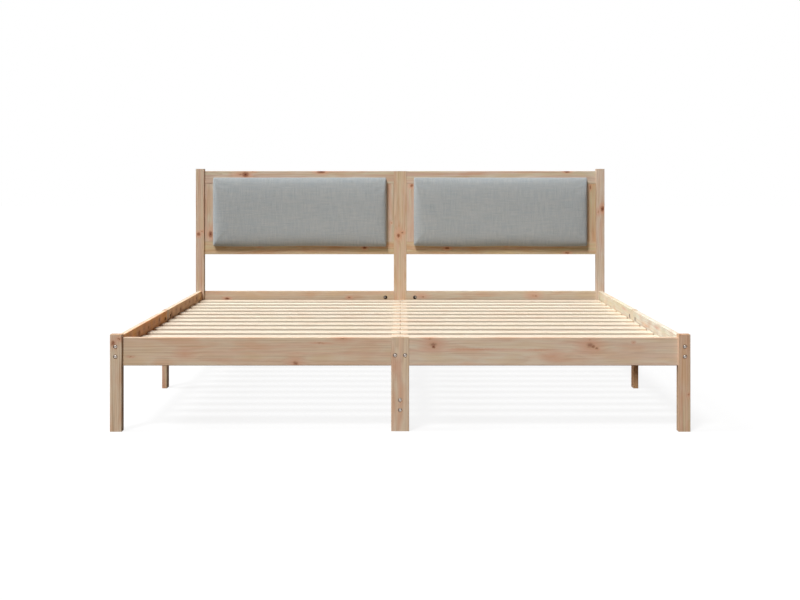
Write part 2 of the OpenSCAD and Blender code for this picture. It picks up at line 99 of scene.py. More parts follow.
def new_material(name):
    """An empty material with its output node."""
    material = bpy.data.materials.new(name)
    material.use_nodes = True
    material.node_tree.nodes.clear()
    return material, material.node_tree, node(material.node_tree, "OutputMaterial")


def mesh_object(name, points, faces, material, smooth=True):
    """A mesh object at the origin from an array of points and a list or array of faces."""
    mesh = bpy.data.meshes.new(name)
    mesh.from_pydata(np.asarray(points, float).tolist(), [], faces)
    mesh.polygons.foreach_set("use_smooth", np.full(len(mesh.polygons), smooth))
    mesh.materials.append(material)
    mesh.update()
    made = bpy.data.objects.new(name, mesh)
    bpy.context.scene.collection.objects.link(made)
    return made


def seen(tree):
    """1 where a surface is seen, straight or by gloss or glass, and 0 for the light that it throws."""
    path = node(tree, "LightPath")
    mirrored = node(tree, "Math", {"operation": "MAXIMUM"}, {
        0: path.outputs["Is Glossy Ray"], 1: path.outputs["Is Transmission Ray"],
    })
    return node(tree, "Math", {"operation": "MAXIMUM"}, {0: path.outputs["Is Camera Ray"], 1: mirrored})


FLOOR_REACH = 40.0  # half its width
FLOOR_DROP = 0.0005  # a hair under the feet, so that the faces don't meet
floor_material, tree, out = new_material("matt_white_floor")
seen_floor = node(tree, "AddShader", {}, {
    0: node(tree, "BsdfDiffuse", {}, {"Color": (0.15, 0.15, 0.15, 1)}),
    1: node(tree, "Emission", {}, {"Color": (1, 1, 1, 1), "Strength": 0.86}),
})
floor_mix = node(tree, "MixShader", {}, {
    0: seen(tree),
    1: node(tree, "BsdfDiffuse", {}, {"Color": (0.10, 0.085, 0.07, 1)}),
    2: seen_floor,
})
tree.links.new(floor_mix.outputs[0], out.inputs["Surface"])
signs = ((-1, -1), (1, -1), (1, 1), (-1, 1))
floor_corners = [(x * FLOOR_REACH, y * FLOOR_REACH, -FLOOR_DROP) for x, y in signs]
floor = mesh_object("floor", floor_corners, [(0, 1, 2, 3)], floor_material, smooth=False)

world = bpy.data.worlds.new("studio_surround")
bpy.context.scene.world = world
world.use_nodes = True
world.node_tree.nodes.clear()
tree = world.node_tree
surround = node(tree, "MixShader", {}, {
    0: seen(tree),
    1: node(tree, "Background", {}, {"Color": (1.0, 0.62, 0.34, 1), "Strength": 0.07}),
    2: node(tree, "Background", {}, {"Color": (1, 1, 1, 1), "Strength": 1.0}),
})
tree.links.new(surround.outputs[0], node(tree, "OutputWorld").inputs["Surface"])

LAMP_DISTANCE = 4.0
SOFT_LIGHTS = {  # direction to the light, width in degrees, colour, and level on a face turned to it
    "softbox_high": ((-0.27, -0.57, 0.775), 14, (0.97, 0.985, 1.0), 0.785),
    "softbox_left": ((-0.70, 0.0, 0.71), 30, (0.92, 0.965, 1.0), 0.65),
    "softbox_front": ((-0.14, -0.76, 0.63), 30, (0.97, 0.985, 1.0), 0.07),
    "softbox_back": ((-0.05, 0.93, 0.36), 40, (1.0, 1.0, 1.0), 0.30),
}
for name, (towards, width, colour, level) in SOFT_LIGHTS.items():
    lamp_data = bpy.data.lights.new(name, "SUN")
    lamp_data.angle = math.radians(width)
    lamp_data.color = colour
    lamp_data.energy = level * math.pi
    lamp = bpy.data.objects.new(name, lamp_data)
    lamp.location = Vector(towards) * LAMP_DISTANCE
    lamp.rotation_euler = Vector(towards).to_track_quat("Z", "Y").to_euler()
    bpy.context.scene.collection.objects.link(lamp)


# Corner posts
# Square pine posts, 38 mm a side, planed and eased by 2 mm on the long edges, with no finish on them.
# The foot pair ends 10 mm above the rails and the head pair 10 mm above the headboard.
PLANED = ("#e9d5bb", "#ebd3b8", "#e9cab0", "#c29570")  # sap side, plain, heart side and late wood
RESINOUS = ("#e2caa9", "#e6c6aa", "#e1b79d", "#be8b66")
DRY = ("#ddcfb5", "#e1cbb6", "#dcbca9", "#ba8f6f")
END_GRAIN = "#dfcdb8"  # the tint that open pores give a board's ends
POCKET_SHADE = "#6b4a36"  # painted shade for a rod pocket's wall and floor, where the light doesn't reach
COLOURS = {"data_type": "RGBA"}  # a mix that turns one colour into another
TINT = {"data_type": "RGBA", "blend_type": "MULTIPLY"}  # a mix that darkens one colour by another


def pine(
    name, board, face, pith, knots=(), timber=PLANED,
    ring=5.0, row_pitch=0, strength=1.0, shade_tint=None, pockets=(),
):
    """Bare planed pine for one board: matt, with a faint silk along the fibres. Face names the axis of the
    grain and the axis across the board's face, and lengths are in mm. Growth rings are cylinders round
    a pith that wanders beside the board: a point's ring is its distance from the pith over the ring
    width, lifted near a knot so that the grain runs round it. Knots are (along, across, half length,
    half width, fading) in the frame's coordinates. Fading is 0 for a knot with a dark heart, and about 1
    where only the red halo reaches the surface. Row pitch is given where rows of two boards share the
    material. The argument after strength is a painted warm shade, a colour that stands in for light the
    wood bounces into a face in shade: its colour, the two places between which it takes over, and whether
    they are along the grain (X) or through the board (Z). Pockets are the centres of round pockets, whose
    wall and floor get a painted shade."""
    wander, ripple = 44, 1.8  # how far the rings stray
    ragged = (9, 7)  # how far a knot's outline strays, along and across
    pocket_radius, pocket_reach = 8.7, 9.3  # a hair over the bore's, and just short of the board's faces
    material, tree, out = new_material(name)
    axes = {"x": Vector((1, 0, 0)), "y": Vector((0, 1, 0)), "z": Vector((0, 0, 1))}
    grain, across = axes[face[0]], axes[face[1]]
    turn = Matrix((grain, across, grain.cross(across)))
    low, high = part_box(board)
    middle = turn @ ((low + high) * 500)
    # The sum of the name's character codes, so that every board is cut from another part of the tree
    place = sum(ord(letter) * (k + 3) for k, letter in enumerate(name)) % 977
    local = node(tree, "Mapping", {}, {
        "Vector": node(tree, "TexCoord").outputs["Object"],
        "Rotation": turn.to_euler(),
        "Scale": (1000, 1000, 1000),
    })
    grown = local
    if row_pitch:  # each board of each row comes from another place in the tree
        cell = node(tree, "VectorMath", {"operation": "FLOOR"}, {
            0: node(tree, "Mapping", {}, {
                "Vector": local, "Location": (0, 0.5, 0), "Scale": (0.0005, 1 / row_pitch, 0),
            }),
        })
        drawn = node(tree, "TexWhiteNoise", {"noise_dimensions": "3D"}, {"Vector": cell})
        grown = node(tree, "VectorMath", {"operation": "MULTIPLY_ADD"}, {
            0: drawn.outputs["Color"], 1: (4000, 110, 60), 2: local,
        })
    noise = {}
    for kind, lengths, detail in (
        ("wander", (900, 170, 170), 1.0),  # the tree's bends
        ("ripple", (60, 11, 11), 2.0),  # waves in the grain
        ("band", (480, 15, 15), 2.0),  # broad stripes of heart and sap colour
        ("streak", (240, 3.2, 3.2), 2.0),  # soft darker lines
        ("fibre", (38, 0.75, 0.75), 2.0),  # bundles of fibres
        ("cloud", (150, 38, 38), 2.0),  # patches of colour
    ):
        stretched = node(tree, "Mapping", {}, {
            "Vector": grown,
            "Location": (place * 1.7, place * 0.31, place * 0.13),
            "Scale": [1 / length for length in lengths],
        })
        noise[kind] = node(tree, "TexNoise", {}, {"Vector": stretched, "Scale": 1.0, "Detail": detail})
    moved = node(tree, "VectorMath", {"operation": "MULTIPLY_ADD"}, {
        0: noise["wander"].outputs["Color"], 1: (0, wander, wander), 2: grown,
    })
    moved = node(tree, "VectorMath", {"operation": "MULTIPLY_ADD"}, {
        0: noise["ripple"].outputs["Color"], 1: (0, ripple, ripple), 2: moved,
    })
    stray = (wander + ripple) / 2
    centred = node(tree, "VectorMath", {"operation": "SUBTRACT"}, {
        0: moved, 1: (0, middle[1] + pith[0] + stray, middle[2] + pith[1] + stray),
    })
    radius = node(tree, "VectorMath", {"operation": "LENGTH"}, {
        0: node(tree, "VectorMath", {"operation": "MULTIPLY"}, {0: centred, 1: (0, 1, 1)}),
    })
    wavy = node(tree, "VectorMath", {"operation": "MULTIPLY_ADD"}, {
        0: node(tree, "TexNoise", {}, {"Vector": local, "Scale": 0.16, "Detail": 2.0}).outputs["Color"],
        1: (*ragged, 0),
        2: local,
    })
    nearest = None
    for along, aside, half_length, half_width, fading in knots:
        centre = (along + ragged[0] / 2, aside + ragged[1] / 2)
        spot = node(tree, "VectorMath", {"operation": "LENGTH"}, {
            0: node(tree, "Mapping", {}, {
                "Vector": wavy,
                "Location": (-centre[0] / half_length, -centre[1] / half_width, 0),
                "Scale": (1 / half_length, 1 / half_width, 0),
            }),
        })
        if fading:
            spot = node(tree, "Math", {"operation": "ADD"}, {0: spot, 1: fading})
        if nearest is not None:
            spot = node(tree, "Math", {"operation": "MINIMUM"}, {0: spot, 1: nearest})
        nearest = spot
    if nearest is not None:
        lift = node(tree, "MapRange", {"interpolation_type": "SMOOTHSTEP"}, {
            "Value": nearest, "From Min": 0.6, "From Max": 4.0, "To Min": 5.0, "To Max": 0.0,
        })
        radius = node(tree, "Math", {"operation": "ADD"}, {0: radius, 1: lift})
    rings = node(tree, "Math", {"operation": "MULTIPLY_ADD"}, {
        0: noise["band"].outputs["Fac"],
        1: 1.2,
        2: node(tree, "Math", {"operation": "DIVIDE"}, {0: radius, 1: ring}),
    })
    late = node(tree, "ValToRGB", {"stops": [
        (0.0, 0.3), (0.12, 0.0), (0.45, 0.1), (0.8, 0.7), (0.92, 1.0), (1.0, 0.3),
    ]}, {0: node(tree, "Math", {"operation": "FRACT"}, {0: rings})})
    sap, plain, ruddy, late_colour = timber
    early_colour = node(tree, "ValToRGB", {"stops": [(0.34, sap), (0.5, plain), (0.66, ruddy)]}, {
        0: noise["band"].outputs["Fac"],
    })
    # Painted warm shade: a deeper colour stands in for light that the wood bounces into a face in shade
    if shade_tint:
        shade_colour, start, end, axis = shade_tint
        early_colour = node(tree, "Mix", COLOURS, {
            0: node(tree, "MapRange", {"interpolation_type": "SMOOTHSTEP"}, {
                "Value": node(tree, "SeparateXYZ", {}, {0: local}).outputs[axis],
                "From Min": start, "From Max": end,
            }),
            1: early_colour,
            2: linear(shade_colour),
        })
    wood = node(tree, "Mix", COLOURS, {
        0: node(tree, "Math", {"operation": "MULTIPLY"}, {0: late, 1: 0.34 * strength}),
        1: early_colour,
        2: linear(late_colour),
    })
    for kind, share, stops in (
        ("streak", 0.7 * strength, [(0.32, "#e3d5c8"), (0.48, "#ffffff")]),
        ("fibre", 0.75, [(0.25, 0.84), (0.5, 0.97), (0.8, 1.0)]),
        ("cloud", 0.4 + 0.6 * strength, [(0.32, "#fdf6ea"), (0.5, "#ffffff"), (0.68, "#fae6da")]),
    ):
        tint = node(tree, "ValToRGB", {"stops": stops}, {0: noise[kind].outputs["Fac"]})
        wood = node(tree, "Mix", TINT, {0: share, 1: wood, 2: tint})
    if nearest is not None:
        third = node(tree, "Math", {"operation": "DIVIDE"}, {0: nearest, 1: 3.0})  # 1 at three half widths
        knot_colour = node(tree, "ValToRGB", {"stops": [
            (0.0, "#4e2216"), (0.1, "#7a3a26"), (0.2, "#a86a4a"), (0.3, "#985438"), (0.37, "#c68d6c"),
            (0.44, "#dca384"), (0.9, "#e2ae92"),
        ]}, {0: third})
        knot_share = node(tree, "ValToRGB", {"stops": [
            (0.0, 0.95), (0.2, 0.85), (0.32, 0.7), (0.46, 0.62), (0.68, 0.38), (1.0, 0.0),
        ]}, {0: third})
        wood = node(tree, "Mix", COLOURS, {0: knot_share, 1: wood, 2: knot_colour})
    end_grain = node(tree, "MapRange", {}, {
        "Value": node(tree, "Math", {"operation": "ABSOLUTE"}, {
            0: node(tree, "VectorMath", {"operation": "DOT_PRODUCT"}, {
                0: node(tree, "NewGeometry").outputs["Normal"], 1: grain,
            }),
        }),
        "From Min": 0.75, "From Max": 0.95, "To Min": 0.0, "To Max": 1.0,
    })
    wood = node(tree, "Mix", TINT, {0: end_grain, 1: wood, 2: linear(END_GRAIN)})
    # Painted shade: darkens each pocket's wall and floor, inside the bore and short of the board's faces
    for along, aside in pockets:
        round_mask = node(tree, "Math", {"operation": "LESS_THAN"}, {
            0: node(tree, "VectorMath", {"operation": "LENGTH"}, {
                0: node(tree, "Mapping", {}, {
                    "Vector": local, "Location": (-along, -aside, 0), "Scale": (1, 1, 0),
                }),
            }),
            1: pocket_radius,
        })
        inside = node(tree, "Math", {"operation": "COMPARE"}, {
            0: node(tree, "SeparateXYZ", {}, {0: local}).outputs["Z"], 1: middle[2], 2: pocket_reach,
        })
        wood = node(tree, "Mix", TINT, {
            0: node(tree, "Math", {"operation": "MULTIPLY"}, {0: round_mask, 1: inside}),
            1: wood,
            2: linear(POCKET_SHADE),
        })
    relief = node(tree, "Math", {"operation": "MULTIPLY_ADD"}, {
        0: late, 1: 0.5, 2: noise["fibre"].outputs["Fac"],
    })
    surface = node(tree, "BsdfPrincipled", {}, {
        "Base Color": wood,
        "Roughness": node(tree, "MapRange", {}, {
            "Value": noise["fibre"].outputs["Fac"],
            "From Min": 0.3, "From Max": 0.7, "To Min": 0.58, "To Max": 0.72,
        }),
        "IOR": 1.45,
        "Specular IOR Level": 0.07,
        "Normal": node(tree, "Bump", {}, {"Height": relief, "Strength": 0.3, "Distance": 0.0004}),
    })
    tree.links.new(surface.outputs[0], out.inputs["Surface"])
    return material


def dress(board, material):
    """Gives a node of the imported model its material."""
    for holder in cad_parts[board].material_slots:
        holder.material = material


POST_KNOTS = {
    "foot_post_left": [(283, -917, 7, 6, 0.1), (296, -897, 5, 10, 0.6), (284, -915, 16, 12, 1.1)],
    "foot_post_right": [(118, 921, 6, 5, 0.8)],
    "head_post_left": [(559, -915, 8, 8, 0.2), (571, -899, 5, 8, 0.7)],
    "head_post_right": [(673, 918, 11, 7, 0), (660, 900, 14, 7, 0.9)],
}
POST_TIMBER = {
    "foot_post_left": PLANED,
    "foot_post_right": RESINOUS,
    "head_post_left": DRY,
    "head_post_right": ("#e4d7c6", "#e6d5c3", "#e4ccbb", "#be977a"),
}
for board, knots in POST_KNOTS.items():
    dress(board, pine("pine_" + board, board, "zx", pith=(-46, 30), knots=knots, timber=POST_TIMBER[board]))


# Flat legs and support boards
# Narrow pine boards, 57.5 by 19 mm, stand between the halves of the rails, and the one at the head
# runs up through the headboard. Thicker blocks behind the end ones carry the centre beam.
LEG_KNOTS = {
    "foot_centre_leg": ("zx", [(205, -14, 30, 12, 1.2)]),
    "head_centre_post": ("zx", [(552, -8, 9, 7, 0.1), (565, 9, 7, 9, 0.5), (556, -4, 24, 18, 1.25)]),
    "side_leg_left": ("zy", [(84, 14, 6, 5, 0.3)]),
    "side_leg_right": ("zy", [(96, -12, 5, 5, 0.5)]),
    "foot_support_board": ("zx", [(96, -13, 8, 6, 0)]),
    "head_support_board": ("zx", [(150, 12, 7, 6, 0.2)]),
    "middle_support_leg": ("zx", [(61, 9, 6, 5, 0)]),
}
SAPWOOD = ("#e8e2c8", "#eae1cd", "#ecdabb", "#cda983")
LEG_TIMBER = {
    "foot_centre_leg": ("#efdcc3", "#f1dac0", "#efd1b8", "#c89b78"),
    "head_centre_post": ("#dbcbad", "#dfc7ae", "#dabaa1", "#b88c69"),
    # Partly painted shade: the left side leg stands under the bed, and this darker palette deepens that shade
    "side_leg_left": RESINOUS,
    "side_leg_right": SAPWOOD,
}
LEG_SHADE_TINT = {"side_leg_right": ("#e0b086", 208, 165, "X")}  # painted warm shade below the rails, where the bed shades the leg, and plain sapwood above
for board, (face, knots) in LEG_KNOTS.items():
    dress(board, pine(
        "pine_" + board, board, face, pith=(-12, 62), knots=knots, timber=LEG_TIMBER.get(board, PLANED),
        ring=4.2, strength=0.8, shade_tint=LEG_SHADE_TINT.get(board),
    ))


# End and side rails
# Pine boards, 90 by 19 mm, each rail in two halves. Their outer ends are bolted to the posts, and the
# inner ends clamp a flat leg with a threaded rod that sits in round pockets.
RAIL_KNOTS = {
    "foot_rail_left": [
        (-863, 238, 8, 2.5, 0.6), (-335, 217, 14, 11, 0.6), (-335, 222, 24, 13, 1.2), (-183, 297, 30, 9, 0.9),
        (-256, 282, 26, 2.2, 0.7), (-690, 247, 30, 16, 1.4),
    ],
    "foot_rail_right": [
        (107, 270, 6, 4.5, 0.1), (106, 277, 26, 16, 0.75), (95, 296, 18, 6, 0.9), (618, 271, 11, 8, 0.5),
        (629, 265, 9, 7, 0.6), (607, 293, 10, 5, 0.9), (608, 275, 27, 19, 0.75), (488, 240, 32, 16, 1.3),
        (747, 284, 5, 4, 0.9), (258, 262, 90, 3, 1.1), (442, 260, 50, 2.6, 1.2),
    ],
    "head_rail_left": [(-787, 265, 10, 5, 0), (-232, 270, 10, 6, 0.6)],
    "head_rail_right": [
        (104, 273, 6, 5, 0.5), (617, 277, 10, 6, 0.7), (605, 279, 30, 16, 1.05), (98, 276, 30, 14, 1.15),
    ],
    "side_rail_left_foot": [
        (-905, 280, 30, 16, 0.8), (-800, 284, 26, 17, 0.95), (-640, 276, 30, 12, 0.35),
        (-545, 282, 40, 18, 1.0), (-450, 276, 34, 13, 0.7), (-320, 284, 36, 16, 1.0),
        (-205, 282, 24, 13, 0.5),
    ],
    "side_rail_left_head": [
        (95, 278, 30, 13, 0.6), (215, 284, 40, 16, 0.95), (335, 274, 34, 13, 0.45), (475, 284, 40, 16, 1.0),
        (600, 284, 34, 12, 0.7), (715, 280, 40, 16, 1.05), (815, 281, 26, 12, 0.5),
    ],
    "side_rail_right_foot": [(-765, 231, 9, 7, 0.8), (-560, 286, 60, 5, 1.3), (-330, 270, 40, 4, 1.3)],
    "side_rail_right_head": [(210, 287, 60, 5, 1.3), (705, 238, 12, 8, 0.6)],
}
SHADED = ("#deccb3", "#e0c9af", "#ddc2aa", "#bb926f")
RAIL_TIMBER = {
    "foot_rail_left": PLANED,
    "foot_rail_right": ("#ecdbc4", "#eed9c1", "#ecd0b9", "#c59b79"),
    "head_rail_left": SHADED,
    "head_rail_right": ("#ded4bd", "#e0d0b9", "#ddc9b3", "#bb9a78"),
    "side_rail_left_foot": SAPWOOD,
    "side_rail_left_head": SAPWOOD,
    "side_rail_right_foot": ("#e9e7d5", "#ebe6d8", "#ece0c9", "#cdb091"),
    "side_rail_right_head": SAPWOOD,
}
LEFT_RAIL_SHADE_TINT = {  # painted warm shade on these boards' inner faces, which only light bounced off the slats reaches, deeper on the foot half; the rest of them is sapwood
    "side_rail_left_foot": ("#ffbe7c", -907, -902, "Z"),
    "side_rail_left_head": ("#ffd8a8", -907, -902, "Z"),
}
POCKET_ALONG, POCKET_HEIGHT = 66.75, 271  # from the middle of the bed and from the floor, in mm
for board, knots in RAIL_KNOTS.items():
    face = "yz" if board.startswith("side") else "xz"
    along = -POCKET_ALONG if board.endswith(("_foot", "_left")) else POCKET_ALONG
    dress(board, pine(
        "pine_" + board, board, face, pith=(-24, 70), knots=knots, timber=RAIL_TIMBER[board],
        ring=5.5, strength=0.6, shade_tint=LEFT_RAIL_SHADE_TINT.get(board), pockets=[(along, POCKET_HEIGHT)],
    ))


# Ledges and centre beam
# Square pine strips screwed inside the side rails carry the slats' outer ends. A flat beam in two
# halves, with a housing for each slat, carries their inner ends.
STRIP_KNOTS = {
    "ledge_left_foot": [(-512, -888, 6, 5, 0)],
    "ledge_left_head": [(402, -886, 6, 5, 0.2)],
    "ledge_right_foot": [(-233, 888, 6, 5, 0)],
    "ledge_right_head": [(688, 885, 7, 5, 0.3)],
    "centre_beam_foot": [(-610, 10, 9, 7, 0)],
    "centre_beam_head": [(455, -12, 8, 7, 0.2)],
}
for board, knots in STRIP_KNOTS.items():
    dress(board, pine("pine_" + board, board, "yx", pith=(20, 45), knots=knots, ring=4.5))


# Slats
# Thirteen rows of two pine boards, 80 by 17 mm, laid on the ledges and screwed at both ends. They are
# paler than the frame, partly as sapwood is and partly by a painted sheen, which stands in for the glare that
# their tops catch at a low angle.
SAPWOOD_AND_SHEEN = ("#ebdec8", "#ebddc8", "#ebdac5", "#dcbf9e")
SLAT_ROWS, SLAT_PITCH = 13, 153.4167  # pitch in mm
slat_pine = pine(
    "pine_slats", "slat_row_07", "xy", pith=(10, 75), timber=SAPWOOD_AND_SHEEN,
    ring=4.8, row_pitch=SLAT_PITCH, strength=0.15,
)
for row in range(1, SLAT_ROWS + 1):
    dress(f"slat_row_{row:02d}", slat_pine)


# Headboard
# Two frames of narrow pine boards, dowelled at the corners, stand between the posts and the middle
# post. Each cushion covers most of its frame.
HEADBOARD_KNOTS = {
    "headboard_top_rail_left": ("xz", [
        (-703, 829, 14, 11, 0), (-724, 830, 30, 11, 0.8), (-360, 842, 17, 7, 0), (-669, 842, 14, 5, 0.9),
    ]),
    "headboard_top_rail_right": ("xz", [(758, 842, 12, 4, 0), (300, 806, 9, 6, 0.4)]),
    "headboard_bottom_rail_left": ("xz", [(-162, 497, 8, 6, 0), (-640, 508, 9, 6, 0.3)]),
    "headboard_bottom_rail_right": ("xz", [
        (213, 495, 11, 6, 0.2), (759, 473, 12, 5, 0.3), (480, 512, 8, 6, 0.2),
    ]),
    "headboard_outer_stile_left": ("zx", [(558, -862, 14, 8, 0), (568, -860, 28, 14, 1.0)]),
    "headboard_outer_stile_right": ("zx", [(772, 864, 11, 4, 0.3), (791, 881, 4, 3, 0.5)]),
    "headboard_inner_stile_left": ("zx", [(610, -40, 5, 4, 0.7)]),
    "headboard_inner_stile_right": ("zx", [(779, 52, 8, 8, 0.25)]),
}
CREAMY = ("#ddd2ba", "#e1cebb", "#dcbfad", "#ba9171")
# Painted warm shade: the bottom rails and the right outer stile, both partly in the cushions' shadow, take a
# warmer, darker palette for it
CUSHION_SHADE_TIMBER = ("#d9caa6", "#dcc5a5", "#d8b798", "#b5885f")
for board, (face, knots) in HEADBOARD_KNOTS.items():
    timber = CUSHION_SHADE_TIMBER if "bottom" in board or board == "headboard_outer_stile_right" else CREAMY
    dress(board, pine(
        "pine_" + board, board, face, pith=(14, 52), knots=knots, timber=timber, ring=4.4, strength=0.8,
    ))


# Cushion boards
# Birch plywood, 9 mm thick, behind the padding. Its back shows through the headboard from behind, and
# its edges show seven veneers, with the grain of every second one turned.
VENEER = 9 / 7  # thickness of one in mm
plywood, tree, out = new_material("birch_plywood")
local = node(tree, "Mapping", {}, {
    "Vector": node(tree, "TexCoord").outputs["Object"], "Scale": (1000, 1000, 1000),
})
# A veneer peeled from a birch log has a broad, faint figure, with small brown flecks along the grain
figure = node(tree, "TexNoise", {}, {
    "Vector": node(tree, "Mapping", {}, {"Vector": local, "Scale": (1 / 160, 1 / 9, 1 / 22)}),
    "Scale": 1.0, "Detail": 3.0, "Distortion": 0.6,
})
flecks = node(tree, "TexNoise", {}, {
    "Vector": node(tree, "Mapping", {}, {"Vector": local, "Scale": (1 / 9, 1 / 2, 1 / 0.8)}),
    "Scale": 1.0, "Detail": 1.0,
})
veneer = node(tree, "ValToRGB", {"stops": [(0.3, "#d8bd92"), (0.5, "#e3cda8"), (0.7, "#dcc093")]}, {
    0: figure.outputs["Fac"],
})
veneer = node(tree, "Mix", TINT, {
    0: node(tree, "MapRange", {}, {
        "Value": flecks.outputs["Fac"], "From Min": 0.6, "From Max": 0.75, "To Min": 0.0, "To Max": 0.5,
    }),
    1: veneer,
    2: linear("#b08a5e"),
})
plies = node(tree, "Math", {"operation": "PINGPONG"}, {
    0: node(tree, "SeparateXYZ", {}, {0: local}).outputs["Y"], 1: VENEER,
})
edge_colour = node(tree, "ValToRGB", {"stops": [(0.35, "#b88f60"), (0.65, "#e0c79c")]}, {
    0: node(tree, "Math", {"operation": "DIVIDE"}, {0: plies, 1: VENEER}),
})
facing = node(tree, "Math", {"operation": "ABSOLUTE"}, {
    0: node(tree, "SeparateXYZ", {}, {0: node(tree, "NewGeometry").outputs["Normal"]}).outputs["Y"],
})
sheet_colour = node(tree, "Mix", COLOURS, {0: facing, 1: edge_colour, 2: veneer})
surface = node(tree, "BsdfPrincipled", {}, {
    "Base Color": sheet_colour,
    "Roughness": 0.6,
    "IOR": 1.45,
    "Normal": node(tree, "Bump", {}, {"Height": flecks.outputs["Fac"], "Strength": 0.2, "Distance": 0.0003}),
})
tree.links.new(surface.outputs[0], out.inputs["Surface"])
for side in ("left", "right"):
    dress("cushion_board_" + side, plywood)


# Dowels
# Fluted beech dowels, glued between the boards. Nothing of them shows when the bed is put together.
beech, tree, out = new_material("turned_beech")
# Turned beech is pinkish brown and even, with short darker rays, here 4 by 1.4 mm
rays = node(tree, "TexNoise", {}, {
    "Vector": node(tree, "Mapping", {}, {
        "Vector": node(tree, "TexCoord").outputs["Object"], "Scale": (250, 700, 700),
    }),
    "Scale": 1.0, "Detail": 2.0,
})
beech_colour = node(tree, "ValToRGB", {"stops": [(0.35, "#c99f72"), (0.6, "#dcb98c")]}, {
    0: rays.outputs["Fac"],
})
surface = node(tree, "BsdfPrincipled", {}, {"Base Color": beech_colour, "Roughness": 0.55, "IOR": 1.45})
tree.links.new(surface.outputs[0], out.inputs["Surface"])
dress("dowels", beech)


# Nuts, rods and screws
# Bright zinc-plated steel. The plating is a little cloudy, with fine marks from the tumbling drum, so
# the heads catch a soft highlight and not a mirror's.
zinc, tree, out = new_material("zinc_plated_steel")
local = node(tree, "TexCoord").outputs["Object"]
cloudy = node(tree, "TexNoise", {}, {"Vector": local, "Scale": 260.0, "Detail": 3.0})
marks = node(tree, "TexNoise", {}, {"Vector": local, "Scale": 1800.0, "Detail": 1.0})
zinc_colour = node(tree, "ValToRGB", {"stops": [(0.3, "#968e87"), (0.7, "#b3a8a0")]}, {
    0: cloudy.outputs["Fac"],
})
surface = node(tree, "BsdfPrincipled", {}, {
    "Base Color": zinc_colour,
    "Metallic": 1.0,
    "Roughness": node(tree, "MapRange", {}, {
        "Value": cloudy.outputs["Fac"], "From Min": 0.3, "From Max": 0.7, "To Min": 0.32, "To Max": 0.48,
    }),
    "Normal": node(tree, "Bump", {}, {"Height": marks.outputs["Fac"], "Strength": 0.15, "Distance": 0.0001}),
})
tree.links.new(surface.outputs[0], out.inputs["Surface"])
for fastener in ("barrel_nuts", "joint_rods", "joint_nuts", "wood_screws", "cushion_screws"):
    dress(fastener, zinc)

# The half-moon washers are stamped steel, blackened in oil, which leaves them dull with a faint shine
blackened, tree, out = new_material("oil_blackened_steel")
local = node(tree, "TexCoord").outputs["Object"]
patches = node(tree, "TexNoise", {}, {"Vector": local, "Scale": 420.0, "Detail": 3.0})
oxide_colour = node(tree, "ValToRGB", {"stops": [(0.35, "#2c2723"), (0.65, "#433b35")]}, {
    0: patches.outputs["Fac"],
})
surface = node(tree, "BsdfPrincipled", {}, {
    "Base Color": oxide_colour,
    "Metallic": 1.0,
    "Roughness": node(tree, "MapRange", {}, {
        "Value": patches.outputs["Fac"], "From Min": 0.3, "From Max": 0.7, "To Min": 0.42, "To Max": 0.62,
    }),
    "Normal": node(tree, "Bump", {}, {"Height": patches.outputs["Fac"], "Strength": 0.2, "Distance": 0.0002}),
})
tree.links.new(surface.outputs[0], out.inputs["Surface"])
dress("moon_washers", blackened)


# Bolts
# Button-headed steel bolts with a hexagon socket, zinc plated. Each head lies in its own counterbore, so
# the steep edge of the dome shows dark round a bright crown.
BOLT_HEAD = [  # radius and depth below the timber's face in mm, and share of the hexagon, from the socket out
    (0.9, 1.15, 1), (1.7, 1.12, 1), (1.95, 1.0, 1), (2.05, 0.3, 1), (2.12, 0.1, 0.6), (2.4, 0.02, 0),
    (3.4, 0.04, 0), (4.2, 0.22, 0), (4.9, 0.65, 0), (5.5, 1.2, 0), (6.1, 1.75, 0), (6.55, 2.15, 0),
    (6.6, 2.3, 0), (6.4, 2.38, 0), (3.3, 2.38, 0), (3.0, 2.7, 0),
]


def bolts(name, places, length, around=48):
    """Bolts at places given as (face point, outward direction). The head's profile and a straight shank
    are turned about the bolt's axis, with so many points around. The socket's radius is that of a
    hexagon: cos 30 over cos of the angle from the middle of a flat. One point closes each end."""
    rows = np.array(BOLT_HEAD + [(3.0, length * 1000 - 0.6, 0), (2.4, length * 1000, 0)])
    angle = np.arange(around) * math.tau / around
    hexagon = math.cos(math.pi / 6) / np.cos(angle % (math.pi / 3) - math.pi / 6)
    radius = rows[:, :1] / 1000 * (1 + rows[:, 2:] * (hexagon - 1))
    depth = np.repeat(rows[:, 1:2] / 1000, around, axis=1)
    shell = np.stack([radius * np.cos(angle), radius * np.sin(angle), -depth], 2).reshape(-1, 3)
    shell = np.concatenate([shell, [[0, 0, -depth[0, 0]], [0, 0, -depth[-1, 0]]]])
    k = np.arange(around)
    following = (k + 1) % around
    row = np.arange(len(rows) - 1)[:, None] * around
    quads = np.stack([row + k, row + k + around, row + following + around, row + following], 2).reshape(-1, 4)
    last, ends = (len(rows) - 1) * around, len(rows) * around
    top = np.stack([k, following, np.full(around, ends)], 1)
    tip = np.stack([last + following, last + k, np.full(around, ends + 1)], 1)
    points, faces = [], []
    for count, (place, outward) in enumerate(places):
        turn = np.array(Vector(outward).to_track_quat("Z", "Y").to_matrix())
        points.append(shell @ turn.T + np.array(place))
        for part in (quads, top, tip):
            faces += (part + count * len(shell)).tolist()
    return mesh_object(name, np.concatenate(points), faces, zinc)


